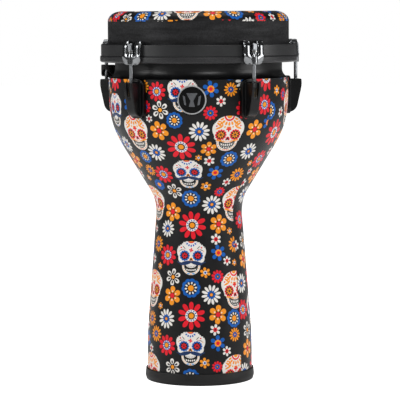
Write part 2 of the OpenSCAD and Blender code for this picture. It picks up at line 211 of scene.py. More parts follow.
# Each flower's drawn diameter and its shapes
FLOWERS = {
    "big_red": (39.2, [
        petals("red", 10, 7, 19.6, 6.3), eye("white", 8.4), petals("blue", 12, 5.8, 7.8, 1.9, 0),
        eye("black", 5.2), eye("orange", 3.6)]),
    "ringed_red": (30, [
        petals("red", 10, 6, 15, 5.4), eye("blue", 7), petals("white", 11, 4.6, 6.6, 1.9, 0),
        eye("black", 4.2), eye("orange", 3.4)]),
    "small_red": (20, [
        petals("red", 10, 4.2, 10, 3.9), eye("blue", 4.5), eye("black", 2.3), eye("orange", 1.2)]),
    "six_orange": (28, [
        petals("orange", 6, 4.1, 14, 7.9), petals("white", 6, 5, 7.4, 1.8), eye("red", 3.6)]),
    "thin_orange": (23, [
        petals("orange", 12, 4.2, 11.5, 3.1), eye("blue", 4.3),
        petals("black", 8, 1.9, 3.7, 1.1, 0), eye("orange", 1.3)]),
    "small_orange": (15, [
        petals("orange", 6, 2.4, 7.5, 3.9), eye("white", 2.7), eye("blue", 1.6)]),
    "ten_blue": (26.6, [
        petals("blue", 10, 6, 13.3, 7.2), eye("blue", 11.2), eye("black", 9.2),
        petals("white", 10, 5.1, 8.7, 2.3), eye("orange", 4)]),
    "small_blue": (18, [
        petals("blue", 8, 4, 9, 5.2), eye("blue", 7.3), petals("navy", 8, 3.4, 6.6, 1.5),
        eye("orange", 3.2)]),
    "six_blue": (22.8, [
        petals("blue", 6, 3.8, 11.4, 5.7), eye("orange", 4.8), eye("red", 2.7)]),
    "daisy": (28.8, [
        petals("white", 12, 5.2, 14.4, 3.8), petals("blue", 8, 1.8, 6.4, 3.2, 0), eye("navy", 3.6),
        eye("orange", 2.1)]),
    "small_white": (16, [
        petals("white", 6, 2.4, 8, 3.9), eye("red", 3.1), eye("black", 1.3)]),
    "outlined": (24, [
        petals("white", 6, 3.9, 12, 5.9), petals("black", 6, 4.6, 9.4, 2.4), eye("orange", 2.7)]),
}

CROWN_A = ("disc", "white", 0, 8, 22.4, 17.4)
SKULL_A = [
    # jaw, with marks along its edge, round an open mouth
    ("disc", "white", 0, -11, 14.4, 14.5), ("drops", "orange", 0, -11, 20, 12.2, 13.5, 2.4, 90),
    ("disc", "red", 1.8, -23.8, 0.9, 0.9), ("disc", "black", 0, -11, 11.2, 11.1),
    ("within", ("disc", "white", 0, -12, 9.6, 9.2), ("drops", "white", 0, 9, 56, 27.8, 30, 2, 90)),
    ("within", ("disc", "white", 0, -12, 9.4, 9.2), ("drops", "white", 0, 9, 56, 23.3, 26.9, 2, 93)),
    ("disc", "white", 0, -6, 10.4, 7.2), ("within", ("disc", "white", 0, -6, 9.8, 6.8),
                                          ("drops", "orange", 0, 9, 44, 19.4, 21.4, 1.7, 90)),
    # crown and brow
    CROWN_A, ("disc", "white", 0, 0, 19.6, 9.6), ("disc", "white", 13, -5.4, 5.7, 5.6),
    ("within", CROWN_A, ("disc", "red", 0, 25.2, 7.3, 7)),
    ("within", CROWN_A, ("disc", "white", 0, 25.4, 5.1, 4.9)),
    ("within", CROWN_A, ("disc", "orange", 0, 25.4, 3.8, 3.7)),
    ("within", ("disc", "white", 0, 8, 19.6, 16.6), ("drops", "orange", 0, 25.2, 16, 8.2, 13.4, 3, 90)),
    ("within", ("disc", "white", 0, 8, 19.6, 16.6), ("drops", "orange", 0, 25.2, 26, 14.6, 17.4, 2.2, 97)),
    ("drops", "orange", 13.4, 13.6, 1, -4.3, 4.3, 2.6, 37),
    ("drops", "orange", 10.6, 15.8, 1, -3.4, 3.4, 2.3, 50),
    ("drops", "orange", 13.6, 9, 1, -4.8, 4.8, 2.6, -22), ("disc", "red", 16.8, 11.6, 1.1, 1.1),
    ("drops", "red", 0, 6.9, 4, 0, 3.7, 2.4, 90),
    # eyes
    ("drops", "red", 10, -1, 12, 4.6, 8, 3.2, 90), ("disc", "red", 10, -1, 6.3, 6.3),
    ("disc", "black", 10, -1, 5.7, 5.7), ("drops", "orange", 10, -1, 8, 1.3, 4.9, 1.7, 90),
    ("disc", "black", 10, -1, 1, 1),
    # nose and cheeks
    ("drops", "red", 1.1, -6.4, 1, -3.2, 3.2, 3.2, 114),
    ("drops", "black", 0.6, -6.8, 1, -2.2, 2.2, 1.7, 108),
    ("drops", "orange", 11.4, -9.2, 1, -4.8, 4.8, 2.4, 11),
    ("drops", "orange", 5.6, -10.6, 5, 0.3, 1.9, 0.9, 90),
]

CROWN_B = ("disc", "white", 0, 9, 19.4, 14.4)
SKULL_B = [
    # jaw and mouth
    ("disc", "white", 0, -11, 12.9, 12.4), ("drops", "peach", 0, -11, 20, 10.5, 12, 2.2, 90),
    ("disc", "sky", 3.4, -21.6, 2.2, 0.9), ("disc", "orange", 0, -22.2, 1, 0.9),
    ("disc", "black", 0, -11, 9.9, 9.3),
    ("within", ("disc", "white", 0, -12, 8.4, 7.6), ("drops", "white", 0, 9, 56, 24.4, 27, 2.1, 90)),
    ("disc", "white", 0, -8.8, 7.6, 4.7), ("within", ("disc", "white", 0, -8.8, 7, 4.4),
                                           ("drops", "navy", 0, 9, 60, 19.8, 21.6, 0.7, 93)),
    # crown and brow
    CROWN_B, ("disc", "white", 6.6, 9.4, 14.2, 14), ("disc", "white", 10.6, -0.6, 8.2, 7.4),
    ("within", CROWN_B, ("disc", "red", 0, 24.4, 5, 3.6)),
    ("within", CROWN_B, ("disc", "orange", 0, 24.8, 3.6, 2.6)),
    ("within", CROWN_B, ("drops", "blue", 0, 24.6, 14, 5.8, 8.9, 2.1, 90)),
    ("drops", "black", 10.2, 14.8, 1, -3, 3, 1, 46), ("drops", "black", 14.4, 11.2, 1, -2.6, 2.6, 0.9, -24),
    ("disc", "red", 14.4, 14.6, 1.2, 1), ("disc", "red", 10.6, 11.8, 0.8, 0.7),
    ("disc", "peach", 17.4, 9.2, 0.9, 0.9),
    ("drops", "red", 0, 11.2, 4, 0.2, 3, 2, 78),
    # eyes
    ("drops", "blue", 9.3, 3.4, 12, 4.2, 7.5, 3.1, 90), ("disc", "blue", 9.3, 3.4, 6, 6),
    ("disc", "black", 9.3, 3.4, 5.2, 5.2), ("drops", "red", 9.3, 3.4, 7, 1, 4.3, 1.7, 90),
    ("disc", "black", 9.3, 3.4, 0.9, 0.9),
    # nose
    ("drops", "orange", 1, -1.6, 1, -2.6, 2.6, 2.9, 114),
    ("drops", "black", 0.6, -1.9, 1, -1.8, 1.8, 1.5, 108),
    # moustache, its ends turned up
    ("drops", "navy", 7.6, -6.8, 1, -8.6, 8.6, 5.4, -13), ("drops", "navy", 15.4, -7, 1, -5.6, 5.6, 2, 17),
]

# What a drawing covers, as discs (x, y, radius) in millimetres
SKULL_COVER = {"skull_a": [(0, 5.5, 20.5), (10, 6, 13), (-10, 6, 13), (0, -12, 14.5)],
               "skull_b": [(0, 5.5, 18.5), (9, 6, 12.5), (-9, 6, 12.5), (0, -12, 13),
                           (15, -6, 6), (-15, -6, 6)]}
DRAWINGS = {**{name: (rows, False) for name, (_, rows) in FLOWERS.items()},
            "skull_a": (SKULL_A, True), "skull_b": (SKULL_B, True)}


def shape_group(name, vectors, numbers):
    """An empty node group with vector and number inputs and one output, Cover."""
    tree = bpy.data.node_groups.new(name, "ShaderNodeTree")
    for title in vectors + numbers:
        kind = "Vector" if title in vectors else "Float"
        tree.interface.new_socket(title, in_out="INPUT", socket_type="NodeSocket" + kind)
    tree.interface.new_socket("Cover", in_out="OUTPUT", socket_type="NodeSocketFloat")
    return tree, tree.nodes.new("NodeGroupInput").outputs


def give_cover(tree, far, sharpness):
    """The group's output: (1 - distance) * sharpness + a half, held between 0 and 1."""
    near = node(tree, "Math", {0: 1, 1: far}, operation="SUBTRACT").outputs[0]
    cover = node(tree, "Math", {0: near, 1: sharpness, 2: 0.5}, operation="MULTIPLY_ADD",
                 use_clamp=True).outputs[0]
    tree.links.new(cover, tree.nodes.new("NodeGroupOutput").inputs["Cover"])


def drop_group():
    """The node group for drops round a middle. The place is folded into one drop's share of the
    turn, where the drop is an ellipse that widens outwards."""
    tree, given = shape_group("drops", ["Place", "Middle"], [
        "Share", "First", "At", "Half length", "Half width", "Taper", "Sharpness"])
    away = node(tree, "VectorMath", {0: given["Place"], 1: given["Middle"]}, operation="SUBTRACT").outputs[0]
    radius = node(tree, "VectorMath", {0: away}, operation="LENGTH").outputs["Value"]
    parts = node(tree, "SeparateXYZ", {0: away}).outputs
    angle = node(tree, "Math", {0: parts[1], 1: parts[0]}, operation="ARCTAN2").outputs[0]
    angle = node(tree, "Math", {0: angle, 1: given["First"]}, operation="SUBTRACT").outputs[0]
    below = node(tree, "Math", {0: given["Share"], 1: -1}, operation="MULTIPLY").outputs[0]
    angle = node(tree, "Math", {0: angle, 1: given["Share"], 2: below}, operation="WRAP").outputs[0]
    along = node(tree, "Math", {0: angle}, operation="COSINE").outputs[0]
    along = node(tree, "Math", {0: along, 1: radius}, operation="MULTIPLY").outputs[0]
    along = node(tree, "Math", {0: along, 1: given["At"]}, operation="SUBTRACT").outputs[0]
    along = node(tree, "Math", {0: along, 1: given["Half length"]}, operation="DIVIDE").outputs[0]
    across = node(tree, "Math", {0: angle}, operation="SINE").outputs[0]
    across = node(tree, "Math", {0: across, 1: radius}, operation="MULTIPLY").outputs[0]
    width = node(tree, "Math", {0: along, 1: given["Taper"], 2: 1}, operation="MULTIPLY_ADD").outputs[0]
    width = node(tree, "Math", {0: width, 1: given["Half width"]}, operation="MULTIPLY").outputs[0]
    across = node(tree, "Math", {0: across, 1: width}, operation="DIVIDE").outputs[0]
    place = node(tree, "CombineXYZ", {0: along, 1: across}).outputs[0]
    far = node(tree, "VectorMath", {0: place}, operation="LENGTH").outputs["Value"]
    give_cover(tree, far, given["Sharpness"])
    return tree


def disc_group():
    """The node group for one disc or ellipse, its distance |offset / half size|."""
    tree, given = shape_group("disc", ["Place", "Middle", "Half size"], ["Sharpness"])
    away = node(tree, "VectorMath", {0: given["Place"], 1: given["Middle"]}, operation="SUBTRACT").outputs[0]
    away = node(tree, "VectorMath", {0: away, 1: given["Half size"]}, operation="DIVIDE").outputs[0]
    far = node(tree, "VectorMath", {0: away}, operation="LENGTH").outputs["Value"]
    give_cover(tree, far, given["Sharpness"])
    return tree


GROUPS = {"drops": drop_group(), "disc": disc_group()}


def cover_of(tree, shape, place, folded):
    """The socket that is 1 inside a shape and 0 outside it."""
    if shape[0] == "within":
        outer = cover_of(tree, shape[1], place, folded)
        inner = cover_of(tree, shape[2], place, folded)
        return node(tree, "Math", {0: outer, 1: inner}, operation="MULTIPLY").outputs[0]
    kind, _, x, y = shape[:4]
    group = node(tree, "Group", node_tree=GROUPS[kind])
    tree.links.new(folded if x > 0 else place, group.inputs["Place"])
    group.inputs["Middle"].default_value = (x, y, 0)
    if kind == "disc":
        half_w, half_h = shape[4:]
        group.inputs["Half size"].default_value = (half_w, half_h, 1)
        group.inputs["Sharpness"].default_value = min(half_w, half_h) / INK_EDGE_MM
        return group.outputs[0]
    count, start, end, width, first = shape[4:]
    group.inputs["Share"].default_value = math.pi / count
    group.inputs["First"].default_value = math.radians(first)
    group.inputs["At"].default_value = (start + end) / 2
    group.inputs["Half length"].default_value = (end - start) / 2
    group.inputs["Half width"].default_value = width / 2
    group.inputs["Taper"].default_value = PETAL_TAPER if count > 2 else 0
    group.inputs["Sharpness"].default_value = min((end - start) / 2, width / 2) / INK_EDGE_MM
    return group.outputs[0]


# A plain weave, drawn three times as coarse as the real 0.3 mm threads so that it shows
THREAD = 0.9 * MM


def printed(name, rows, mirrored, roughness):
    """Dye-sublimation print on a plain-woven polyester cloth: matt ink that follows the threads,
    a charcoal ground flecked with paler threads, and a soft sheen at a glancing angle."""
    material, tree, surface = finish(name, Roughness=roughness, Sheen_Weight=0.06, Sheen_Roughness=0.3,
                                     Specular_IOR_Level=0.24)
    surface.inputs["Sheen Tint"].default_value = linear("#F4F4F4")
    place = node(tree, "UVMap", uv_map="print").outputs[0]
    cloth = node(tree, "UVMap", uv_map="cloth").outputs[0]
    fleck = grain(tree, 0.7 * MM, 3.0, cloth, 0.7)
    fleck = node(tree, "MapRange", {"Value": fleck, "From Min": 0.36, "From Max": 0.66}).outputs[0]
    colour = node(tree, "Mix", {0: fleck, 6: linear(CLOTH_LOW), 7: linear(CLOTH_HIGH)},
                  data_type="RGBA").outputs[2]
    if rows:
        parts = node(tree, "SeparateXYZ", {0: place}).outputs
        across = node(tree, "Math", {0: parts[0]}, operation="ABSOLUTE").outputs[0]
        folded = node(tree, "CombineXYZ", {0: across, 1: parts[1]}).outputs[0] if mirrored else place
    for shape in rows:
        ink = shape[2][1] if shape[0] == "within" else shape[1]
        cover = cover_of(tree, shape, place, folded)
        colour = node(tree, "Mix", {0: cover, 6: colour, 7: linear(INKS[ink])}, data_type="RGBA").outputs[2]
    # the threads show through the ink as slightly darker gaps
    bands_to_a_unit = 3.2
    warp, weft = [node(tree, "TexWave", {"Vector": cloth, "Scale": 1 / THREAD / bands_to_a_unit},
                       bands_direction=way).outputs[1] for way in "XY"]
    weave = node(tree, "Math", {0: warp, 1: weft}, operation="MULTIPLY").outputs[0]
    worn = grain(tree, 14 * MM, 4.0, cloth)
    shade = spread(tree, weave, 0.86, 1.06)
    for uneven in (spread(tree, worn, 0.9, 1.08), spread(tree, fleck, 0.95, 1.04)):
        shade = node(tree, "Math", {0: shade, 1: uneven}, operation="MULTIPLY").outputs[0]
    colour = node(tree, "VectorMath", {0: colour, 3: shade}, operation="SCALE").outputs[0]
    tree.links.new(colour, surface.inputs["Base Color"])
    tree.links.new(spread(tree, fleck, roughness - 0.08, roughness + 0.1), surface.inputs["Roughness"])
    bumped(tree, surface, weave, 0.08 * MM, 0.6)
    return material


def printed_set(name, roughness):
    """The plain ground first, then one material for each drawing."""
    return [printed(name + "_ground", [], False, roughness)] + [
        printed(name + "_" + drawing, rows, mirrored, roughness)
        for drawing, (rows, mirrored) in DRAWINGS.items()]


# ---------- laying the drawings out on a surface ----------

KINDS = list(DRAWINGS)

# One repeat of the print about a skull B, as (drawing, x, y, size): a skull's size is a scale,
# and a flower's its diameter in millimetres, like x and y
REPEAT_MM = 126
REPEAT = [
    ("skull_b", 0, 0, 1), ("skull_a", 64, 81, 1),
    ("big_red", 1, 46, 39.2), ("six_orange", 39, 47, 27), ("ten_blue", 0, 84.5, 27),
    ("daisy", 29, 75, 28), ("daisy", -38, 40, 28), ("six_orange", -28, 73, 27),
    ("ten_blue", 66, 40, 26), ("ringed_red", -37, 3, 29), ("six_blue", 39, 7, 22.8),
    ("thin_orange", 67, 17, 23), ("outlined", -27, -27, 24), ("small_blue", -50, -11, 18),
    ("small_red", 38, -26, 20), ("small_orange", 20, -20, 15), ("small_white", 35, 26, 16),
    ("small_white", 53, -5, 14.5)]
# What fills the room that is left, the largest first, with the diameter each is printed at
FILLERS = [("big_red", 38), ("ringed_red", 29), ("daisy", 28), ("six_orange", 27), ("ten_blue", 26),
           ("outlined", 23), ("thin_orange", 22), ("six_blue", 22), ("small_red", 19), ("small_blue", 17),
           ("small_white", 15), ("small_orange", 14), ("small_white", 11), ("small_orange", 10)]
# The room kept round a filler and round a drawing that is wanted, which may overlap a little,
# the sizes that a wanted drawing is tried at, and how often each filler is thrown
GAP_MM, WANTED_GAP_MM = 1.5, -0.6
SHRINKS = (1, 0.93, 0.86, 0.8)
THROWS = 420
# No two drawings whose middles are farther apart than this can meet
WIDEST_MM = 70
# A flower may be printed turned by this much to either side, in radians
FLOWER_TURN = 0.2


def cover_discs(drawing, size):
    """The discs that a drawing covers, as rows of x, y and radius in metres. A skull's size is a
    scale, and a flower's its diameter in mm."""
    if drawing in SKULL_COVER:
        return np.array(SKULL_COVER[drawing]) * MM * size
    return np.array([[0, 0, size / 2]]) * MM


def fits(offset, spots, spot, gap):
    """True if a new spot keeps its distance from all the others."""
    place, discs = spot[1:3]
    for _, other_place, other_discs, _ in spots:
        apart = offset(np.array(place), other_place)
        if np.abs(apart).max() > WIDEST_MM * MM:
            continue
        between = discs[:, None, :2] + apart - other_discs[None, :, :2]
        room = np.hypot(between[..., 0], between[..., 1]) - discs[:, None, 2] - other_discs[None, :, 2]
        if room.min() < gap:
            return False
    return True


def lay_out(offset, wanted, scatter, seed):
    """Spots (drawing, place, discs, size): those wanted, shrunk a little where they crowd, then
    ever smaller flowers thrown at random wherever they fit."""
    chance = np.random.default_rng(seed)
    spots = []
    for drawing, place, size in wanted:
        for shrink in SHRINKS:
            spot = (drawing, place, cover_discs(drawing, size * shrink), size * shrink)
            if fits(offset, spots, spot, WANTED_GAP_MM * MM):
                spots.append(spot)
                break
    for drawing, size in FILLERS:
        for place in scatter(chance, THROWS):
            spot = (drawing, place, cover_discs(drawing, size), size)
            if fits(offset, spots, spot, GAP_MM * MM):
                spots.append(spot)
    return spots


def nearest_spot(offset, spots, middles):
    """For each face, the spot whose drawing reaches it, or -1."""
    best = np.full(len(middles), 1.0 * MM)
    owner = np.full(len(middles), -1)
    for index, (_, place, discs, _) in enumerate(spots):
        away = offset(middles, place)
        for x, y, radius in discs:
            room = np.hypot(away[:, 0] - x, away[:, 1] - y) - radius
            nearer = room < best
            best[nearer] = room[nearer]
            owner[nearer] = index
    return owner


def print_on(mesh, offset, spots, places, corners, cloth, chance):
    """Gives each face the material of its spot and its corners their place in that drawing.
    places are the corners' places on the surface, cloth their place in the weave."""
    per_face = places[corners]
    owner = nearest_spot(offset, spots, per_face.mean(axis=1))
    drawn = np.zeros(corners.shape + (2,))
    material = np.zeros(len(corners), dtype=np.int32)
    turns = chance.uniform(-FLOWER_TURN, FLOWER_TURN, len(spots))
    for index, (drawing, place, _, size) in enumerate(spots):
        mine = owner == index
        if not mine.any():
            continue
        away = offset(per_face[mine], place) / MM
        if drawing in FLOWERS:
            c, s = math.cos(turns[index]), math.sin(turns[index])
            away = away @ np.array([[c, -s], [s, c]]) * FLOWERS[drawing][0]
        drawn[mine] = away / size
        material[mine] = 1 + KINDS.index(drawing)
    mesh.uv_layers.new(name="print").data.foreach_set("uv", drawn.ravel())
    mesh.uv_layers.new(name="cloth").data.foreach_set("uv", cloth[corners].ravel())
    mesh.polygons.foreach_set("material_index", material)


# ---------- mesh helpers ----------

def circle(angles):
    """The points at angles on a circle of radius 1."""
    return np.stack([np.cos(angles), np.sin(angles)], axis=-1)


def lathe(radii, heights, ring):
    """The points of a turned surface, level by level."""
    around = radii[:, None, None] * ring[None]
    level = np.broadcast_to(heights[:, None, None], around.shape[:2] + (1,))
    return np.concatenate([around, level], axis=-1).reshape(-1, 3)


def hub(ring, middle):
    """The faces that close a ring of points on its middle, each folding two steps of the ring."""
    first, between, last = ring[::2], ring[1::2], np.roll(ring, -2)[::2]
    return np.stack([first, between, last, np.full(len(first), middle)], axis=-1)


def bake_map(mesh, flat, corners):
    """The map that the finishes are baked to: each point's place on a square of side 1."""
    layer = mesh.uv_layers.new(name="OFBake")
    layer.data.foreach_set("uv", flat[corners].ravel())
    mesh.uv_layers.active = layer


def mesh_points(mesh):
    """The points of a mesh, in metres."""
    points = np.empty(len(mesh.vertices) * 3)
    mesh.vertices.foreach_get("co", points)
    return points.reshape(-1, 3)


def grid(rows, columns, closed=False, start=0):
    """The faces of a grid of points, row by row, its columns joined round if it is closed."""
    row = np.arange(rows - 1)[:, None]
    column = np.arange(columns if closed else columns - 1)[None, :]
    after = (column + 1) % columns
    corners = [row * columns + column, row * columns + after, (row + 1) * columns + after,
               (row + 1) * columns + column]
    return np.stack(np.broadcast_arrays(*corners), axis=-1).reshape(-1, 4) + start


def new_piece(name, points, faces, body, slot, materials=(), replaces=()):
    """A smooth-shaded piece at the origin that rides on a body."""
    mesh = bpy.data.meshes.new(name)
    mesh.from_pydata(np.asarray(points).tolist(), [], [list(map(int, f)) for f in faces])
    mesh.polygons.foreach_set("use_smooth", np.ones(len(mesh.polygons), dtype=bool))
    mesh.set_sharp_from_angle(angle=math.radians(50))
    for material in materials:
        mesh.materials.append(material)
    piece = bpy.data.objects.new(name, mesh)
    bpy.context.scene.collection.objects.link(piece)
    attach(piece, body)
    if replaces:
        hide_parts(*replaces)
    return piece


def outer_line(name, step):
    """Radius against height of a turned node's outer face, at even steps along it: the largest
    radius at each level, smoothed over about 14 mm so that its chords don't show."""
    points = mesh_points(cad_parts[name].data)
    level = np.round(points[:, 2], 5)
    radius = np.hypot(points[:, 0], points[:, 1])
    heights = np.unique(level)
    widest = np.array([radius[level == h].max() for h in heights])
    fine = np.arange(heights[0], heights[-1], 1 * MM)
    line = np.interp(fine, heights, widest)
    reach = 7
    before = 2 * line[0] - line[reach:0:-1]
    beyond = 2 * line[-1] - line[-2:-reach - 2:-1]
    padded = np.concatenate([before, line, beyond])
    line = np.convolve(padded, np.ones(2 * reach + 1) / (2 * reach + 1), mode="valid")
    fine = np.append(fine, heights[-1])
    line = np.append(line, widest[-1])
    along = np.concatenate([[0], np.cumsum(np.hypot(np.diff(fine), np.diff(line)))])
    even = np.linspace(0, along[-1], int(along[-1] / step) + 1)
    return np.interp(even, along, line), np.interp(even, along, fine), even


# ---------- the cloth round the shell ----------

CLOTH_STEP = 1.9 * MM
CLOTH_T = 0.5 * MM
PANELS, PANEL_COLUMNS = 4, 113
# The lowest skull of the front column, and the skulls that face forwards, as (drawing, height
# in mm, azimuth in degrees)
SKULL_HEIGHT_MM, SKULL_AZIMUTH = 52.5, -6
FRONT_SKULLS = [
    ("skull_b", SKULL_HEIGHT_MM, SKULL_AZIMUTH), ("skull_b", 178.4, -6), ("skull_b", 297, -6),
    ("skull_b", 408, -6),
    ("skull_a", 15, 47), ("skull_a", 15, -63), ("skull_a", 132, 50), ("skull_a", 132, -65),
    ("skull_a", 254, 55), ("skull_a", 254, -66), ("skull_a", 353.6, 24), ("skull_a", 353.6, -43)]
# The larger flowers of the forward face, with their diameters, placed where the cone's cut
# would crowd them
FRONT_FLOWERS = [
    ("big_red", 336, -8.7, 41), ("ten_blue", 373, -9.4, 30), ("six_orange", 358.2, -22.8, 28),
    ("daisy", 357.5, 4.4, 29), ("outlined", 387, -20.7, 25), ("six_orange", 358.8, 44, 28),
    ("daisy", 328, 45, 27), ("thin_orange", 295, 43, 23), ("six_orange", 241.9, -33, 27)]
# The cloth's one seam: an azimuth in degrees, and how far the print is shifted up past it
SEAM_AZIMUTH, SEAM_SHIFT_MM = 56, 47
SKULL_SIZE = {"skull_a": 1.04}
# On the cone a level row of the cloth dips to either side by DIP times its distance squared,
# per millimetre, and the cut leans over by LEAN
CONE_ROW, DIP, DIP_REACH_MM, LEAN = 2, 0.0037, 90, 0.14
# How far past an edge a drawing's middle may lie, in metres, and the turn in radians past which
# a drawing counts as the back's
PAST_EDGE, TO_THE_BACK = 0.02, 1.4


def cloth_offset(places, spot):
    """From a spot to places (azimuth, along, radius) on the cloth, level and up, in metres. The
    turn is counted round from the seam, so that no drawing runs across it."""
    seam = math.radians(SEAM_AZIMUTH)
    turn = np.remainder(places[..., 0] - seam, 2 * math.pi) - np.remainder(spot[0] - seam, 2 * math.pi)
    return np.stack([turn * places[..., 2], places[..., 1] - spot[1]], axis=-1)


def cloth_spots(radius, height, along):
    """The forward skulls, then the repeats of the print carried round to the back, then fillers."""
    def at(azimuth, distance):
        return (azimuth, distance, np.interp(distance, along, radius))

    skulls = [(kind, z, az, SKULL_SIZE.get(kind, 1)) for kind, z, az in FRONT_SKULLS]
    wanted = []
    for kind, z, az, size in skulls + FRONT_FLOWERS:
        distance = np.interp(z * MM, height, along, left=along[0] - 2 * MM)
        wanted.append((kind, at(math.radians(az), distance), size))
    first = np.interp(SKULL_HEIGHT_MM * MM, height, along)
    later = []
    for up in range(-1, 5):
        for kind, x, y, size in REPEAT:
            for round_by in (0, -1, 1, -2, 2, -3, 3):
                across = x + round_by * REPEAT_MM
                dip = DIP * min(abs(across), DIP_REACH_MM) ** 2 if up >= CONE_ROW else 0
                lean = LEAN * y if up == CONE_ROW else 0
                distance = first + (up * REPEAT_MM + y - dip) * MM
                turn = (across - lean) * MM / np.interp(distance, along, radius)
                if turn > math.radians(SEAM_AZIMUTH - SKULL_AZIMUTH):
                    distance += SEAM_SHIFT_MM * MM
                if abs(turn) < math.pi and -PAST_EDGE < distance < along[-1] + PAST_EDGE:
                    order = (kind in FLOWERS, abs(turn) > TO_THE_BACK)
                    later.append((order, kind, at(math.radians(SKULL_AZIMUTH) + turn, distance), size))
    later.sort(key=lambda entry: entry[0])
    wanted += [entry[1:] for entry in later]

    def scatter(chance, count):
        return [at(chance.uniform(-math.pi, math.pi), chance.uniform(0, along[-1])) for _ in range(count)]

    return lay_out(cloth_offset, wanted, scatter, seed=11)


def make_cloth():
    """Four panels of printed cloth that meet edge to edge round the shell. Each is a grid of
    azimuth and distance along the goblet line, with a back 0.5 mm inside it."""
    radius, height, along = outer_line("cloth_wrap", CLOTH_STEP)
    spots = cloth_spots(radius, height, along)
    materials = printed_set("printed_cloth", 0.38)
    rows, columns = len(along), PANEL_COLUMNS
    half_panel = math.pi / PANELS
    for number in range(PANELS):
        middle = FRONT + math.radians(SEAM_AZIMUTH) + (number + 0.5) * 2 * half_panel
        share = np.linspace(-1, 1, columns)
        angle = middle + share * half_panel
        azimuth = angle - FRONT
        ring = circle(angle)
        points = np.concatenate([lathe(radius, height, ring), lathe(radius - CLOTH_T, height, ring)])
        front = grid(rows, columns)
        behind = grid(rows, columns, start=rows * columns)[:, ::-1]
        rim = np.concatenate([np.arange(columns), np.arange(1, rows) * columns + columns - 1,
                              (rows - 1) * columns + np.arange(columns - 2, -1, -1),
                              np.arange(rows - 2, 0, -1) * columns])
        after = np.roll(rim, -1)
        edges = np.stack([after, rim, rim + rows * columns, after + rows * columns], axis=-1)
        faces = np.concatenate([front, behind, edges])
        piece = new_piece(f"cloth_panel_{number + 1}", points, faces, "drum", "printed_cloth", materials,
                          ["cloth_wrap"])
        mesh = piece.data
        places = np.stack(np.broadcast_arrays(azimuth[None, :], along[:, None], radius[:, None]), axis=-1)
        places = np.concatenate([places.reshape(-1, 3)] * 2)
        cloth = np.stack([places[:, 0] * 0.1, places[:, 1]], axis=-1)
        print_on(mesh, cloth_offset, spots, places, faces, cloth, np.random.default_rng(5))
        # on the baked map the face takes nine tenths of the width, and the back the rest
        up = (along / along[-1] * 0.98 + 0.01)[:, None]
        flat = [np.stack(np.broadcast_arrays(at + half * share[None], up), axis=-1).reshape(-1, 2)
                for at, half in ((0.45, 0.44), (0.95, 0.0352))]
        bake_map(mesh, np.concatenate(flat), faces)


# ---------- the head ----------

# Where one skull B lies on the head, from its middle towards the right and the back
HEAD_PRINT_MM = (56, -63)
SHOULDER_W, SHOULDER_H, FILM_T = 20 * MM, 14 * MM, 0.6 * MM
FILM_COLUMNS = 360


def film_offset(places, spot):
    """From a spot to places on the film, laid flat."""
    return places - np.asarray(spot)


def make_film():
    """The printed film: a flat disc whose edge turns down over an elliptical shoulder, with a
    back 0.6 mm under it."""
    low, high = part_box("head_film")
    top, foot, reach = high[2], low[2], high[0]
    bend = np.linspace(0, math.pi / 2, 24)[1:]

    def section(inset):
        flat = np.linspace(0, reach - SHOULDER_W, 60)[1:]
        radii = np.concatenate([flat, reach - SHOULDER_W + (SHOULDER_W - inset) * np.sin(bend),
                                [reach - inset]])
        heights = np.concatenate([np.full(len(flat), top - inset),
                                  top - SHOULDER_H + (SHOULDER_H - inset) * np.cos(bend), [foot]])
        return radii, heights

    columns = FILM_COLUMNS
    ring = circle(np.arange(columns) * 2 * math.pi / columns)
    points, places = [], []
    for inset in (0.0, FILM_T):
        radii, heights = section(inset)
        points.append(lathe(radii, heights, ring))
        along = np.cumsum(np.hypot(np.diff(radii, prepend=0), np.diff(heights, prepend=heights[0])))
        places.append((along[:, None, None] * ring[None]).reshape(-1, 2))
    rows = len(radii)
    count = rows * columns
    index = np.arange(columns)
    edge = (rows - 1) * columns + index
    after = np.roll(edge, -1)
    points = np.concatenate(points + [[[0, 0, top], [0, 0, top - FILM_T]]])
    places = np.concatenate(places + [[[0, 0], [0, 0]]])
    faces = np.concatenate([
        grid(rows, columns, closed=True)[:, ::-1], grid(rows, columns, closed=True, start=count),
        np.stack([after, edge, count + edge, count + after], axis=-1),
        hub(index, 2 * count), hub(count + index, 2 * count + 1)[:, [2, 1, 0, 3]]])

    wanted = []
    for up in range(-2, 3):
        for across in range(-2, 3):
            for kind, x, y, size in REPEAT:
                spot = ((x + across * REPEAT_MM + HEAD_PRINT_MM[0]) * MM,
                        (y + up * REPEAT_MM + HEAD_PRINT_MM[1]) * MM)
                if math.hypot(*spot) < reach + 30 * MM:
                    wanted.append((kind, spot, size))
    wanted.sort(key=lambda entry: entry[0] in FLOWERS)

    def scatter(chance, throws):
        return [tuple(chance.uniform(-reach, reach, 2)) for _ in range(throws)]

    spots = lay_out(film_offset, wanted, scatter, seed=3)
    piece = new_piece("printed_head", points, faces, "drum", "printed_film",
                      printed_set("printed_film", 0.42), ["head_film"])
    print_on(piece.data, film_offset, spots, places, faces, places, np.random.default_rng(8))
    # on the baked map the back is drawn small, in a corner that the round face leaves free
    flat = places / (2.1 * np.abs(places).max()) + 0.5
    flat[count:2 * count] *= 0.1
    flat[-1] = 0.05
    bake_map(piece.data, flat, faces)


# ---------- cast and moulded pieces ----------

